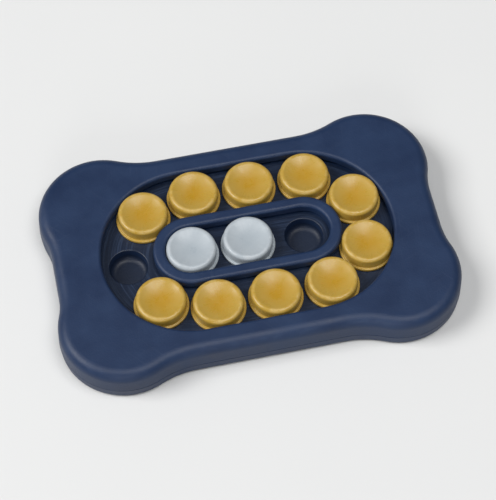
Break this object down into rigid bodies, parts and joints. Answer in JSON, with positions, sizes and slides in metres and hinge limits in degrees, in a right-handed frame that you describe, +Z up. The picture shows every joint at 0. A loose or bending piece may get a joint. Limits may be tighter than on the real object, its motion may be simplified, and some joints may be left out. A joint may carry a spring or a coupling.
{
  "type": "sliding treat puzzle tray",
  "caption": "Low bone-shaped pet puzzle tray: round dished discs slide round a stadium loop and along a middle lane to cover and uncover treat cups.",
  "frame": {"origin": "middle of the tray, on the table that its rubber feet stand on", "axes": "+X along the tray towards the end with a filled loop, +Y to the far long side, +Z up"},
  "size_m": [0.2568, 0.1634, 0.0265],
  "materials": {
    "navy_shell": "fine moulded grain, satin",
    "yellow_disc": "smooth moulded, lightly scuffed",
    "white_disc": "smooth moulded, lightly scuffed",
    "foot_rubber": "matt",
    "screw_steel": "bright zinc"
  },
  "bodies": {
    "tray": {"base_pan": "navy_shell", "track_cover": "navy_shell", "island_cover": "navy_shell", "foot_pad_far_right": "foot_rubber", "foot_pad_far_left": "foot_rubber", "foot_pad_near_left": "foot_rubber", "foot_pad_near_right": "foot_rubber", "cover_screws": "screw_steel", "island_screws": "screw_steel"},
    "loop_disc_01": {"loop_slider_01": "yellow_disc"},
    "loop_disc_02": {"loop_slider_02": "yellow_disc"},
    "loop_disc_03": {"loop_slider_03": "yellow_disc"},
    "loop_disc_04": {"loop_slider_04": "yellow_disc"},
    "loop_disc_05": {"loop_slider_05": "yellow_disc"},
    "loop_disc_06": {"loop_slider_06": "yellow_disc"},
    "loop_disc_07": {"loop_slider_07": "yellow_disc"},
    "loop_disc_08": {"loop_slider_08": "yellow_disc"},
    "loop_disc_09": {"loop_slider_09": "yellow_disc"},
    "loop_disc_10": {"loop_slider_10": "yellow_disc"},
    "lane_disc_01": {"lane_slider_01": "white_disc"},
    "lane_disc_02": {"lane_slider_02": "white_disc"}
  },
  "joints": [
    {"name": "loop_push", "type": "slide", "parent": "tray", "child": "loop_disc_03", "axis": [-1, 0, 0], "range_m": [0, 0.03651]},
    {"name": "loop_turn_01", "type": "hinge", "parent": "tray", "child": "loop_disc_01", "pos_m": [-0.03651, 0, 0.016], "axis": [0, 0, 1], "range_deg": [0, 51.44]},
    {"name": "loop_turn_02", "type": "hinge", "parent": "tray", "child": "loop_disc_02", "pos_m": [-0.03311, -0.00855, 0.016], "axis": [0, 0, 1], "range_deg": [0, 42.13]},
    {"name": "loop_turn_04", "type": "hinge", "parent": "tray", "child": "loop_disc_04", "pos_m": [0.02113, -0.1818, 0.016], "axis": [0, 0, 1], "range_deg": [0, 9.39]},
    {"name": "loop_turn_05", "type": "hinge", "parent": "tray", "child": "loop_disc_05", "pos_m": [0.03651, 0, 0.016], "axis": [0, 0, 1], "range_deg": [0, 51.44]},
    {"name": "loop_turn_06", "type": "hinge", "parent": "tray", "child": "loop_disc_06", "pos_m": [0.03651, 0, 0.016], "axis": [0, 0, 1], "range_deg": [0, 51.44]},
    {"name": "loop_turn_07", "type": "hinge", "parent": "tray", "child": "loop_disc_07", "pos_m": [0.03651, 0, 0.016], "axis": [0, 0, 1], "range_deg": [0, 51.44]},
    {"name": "loop_turn_08", "type": "hinge", "parent": "tray", "child": "loop_disc_08", "pos_m": [0.02113, 0.1818, 0.016], "axis": [0, 0, 1], "range_deg": [0, 9.39]},
    {"name": "loop_slide_09", "type": "slide", "parent": "tray", "child": "loop_disc_09", "axis": [1, 0, 0], "range_m": [0, 0.03651]},
    {"name": "loop_turn_10", "type": "hinge", "parent": "tray", "child": "loop_disc_10", "pos_m": [-0.03311, 0.00855, 0.016], "axis": [0, 0, 1], "range_deg": [0, 42.13]},
    {"name": "lane_push", "type": "slide", "parent": "tray", "child": "lane_disc_02", "axis": [1, 0, 0], "range_m": [0, 0.03651]},
    {"name": "lane_slide_01", "type": "slide", "parent": "tray", "child": "lane_disc_01", "axis": [1, 0, 0], "range_m": [0, 0.03651]}
  ],
  "couplings": [
    {"joint": "loop_turn_01", "follows": "loop_push", "rad_per_m": 24.583},
    {"joint": "loop_turn_02", "follows": "loop_push", "rad_per_m": 20.132},
    {"joint": "loop_turn_04", "follows": "loop_push", "rad_per_m": 4.4858},
    {"joint": "loop_turn_05", "follows": "loop_push", "rad_per_m": 24.583},
    {"joint": "loop_turn_06", "follows": "loop_push", "rad_per_m": 24.583},
    {"joint": "loop_turn_07", "follows": "loop_push", "rad_per_m": 24.583},
    {"joint": "loop_turn_08", "follows": "loop_push", "rad_per_m": 4.4858},
    {"joint": "loop_slide_09", "follows": "loop_push", "ratio": 1},
    {"joint": "loop_turn_10", "follows": "loop_push", "rad_per_m": 20.132},
    {"joint": "lane_slide_01", "follows": "lane_push", "ratio": 1}
  ]
}
